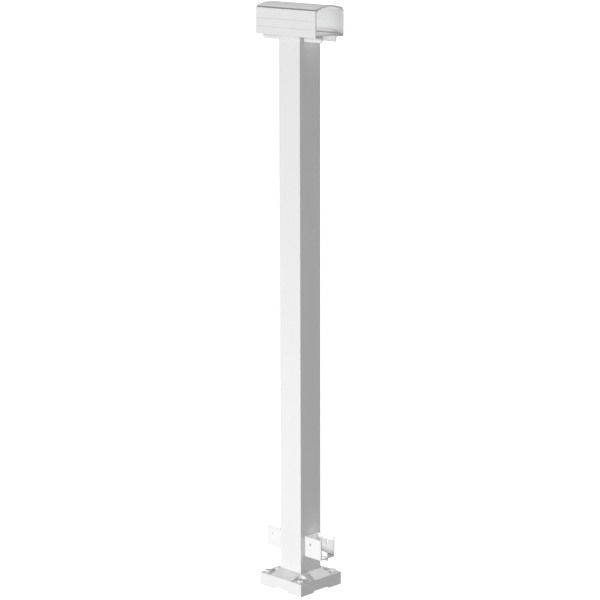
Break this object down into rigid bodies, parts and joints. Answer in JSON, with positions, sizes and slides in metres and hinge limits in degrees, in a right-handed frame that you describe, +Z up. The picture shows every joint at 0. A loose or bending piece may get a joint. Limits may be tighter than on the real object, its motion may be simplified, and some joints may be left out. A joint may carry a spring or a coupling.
{
  "type": "deck railing post",
  "caption": "White powder-coated aluminium guard post: square tube in a cast anchor base, a bracket each side for the bottom rail, and a crowned top-rail stub on a support channel.",
  "frame": {"origin": "under the middle of the base, on the plane it stands on", "axes": "+Z up the post, +X along the rails, towards the right bracket; -Y is the face turned to the camera's left"},
  "size_m": [0.147, 0.1054, 1.066],
  "materials": {
    "cast_white": "white powder coat on cast aluminium, semi-gloss with a slight cast texture",
    "post_white": "smooth white powder coat, semi-gloss",
    "rail_white": "smooth white powder coat, semi-gloss, with faint extrusion lines",
    "channel_white": "smooth white powder coat, semi-gloss",
    "bracket_white": "smooth white powder coat on folded sheet",
    "screw_white": "glossy white enamel on screw heads"
  },
  "bodies": {
    "root": {"base_casting": "cast_white", "post_tube": "post_white", "post_top_plate": "post_white", "rail_support_channel": "channel_white", "top_rail": "rail_white", "bottom_rail_bracket_left": "bracket_white", "bottom_rail_bracket_right": "bracket_white", "anchor_screw_front_left": "screw_white", "anchor_screw_front_right": "screw_white", "anchor_screw_back_left": "screw_white", "anchor_screw_back_right": "screw_white", "bracket_screw_left_front": "screw_white", "bracket_screw_left_back": "screw_white", "bracket_screw_right_front": "screw_white", "bracket_screw_right_back": "screw_white"}
  },
  "joints": []
}
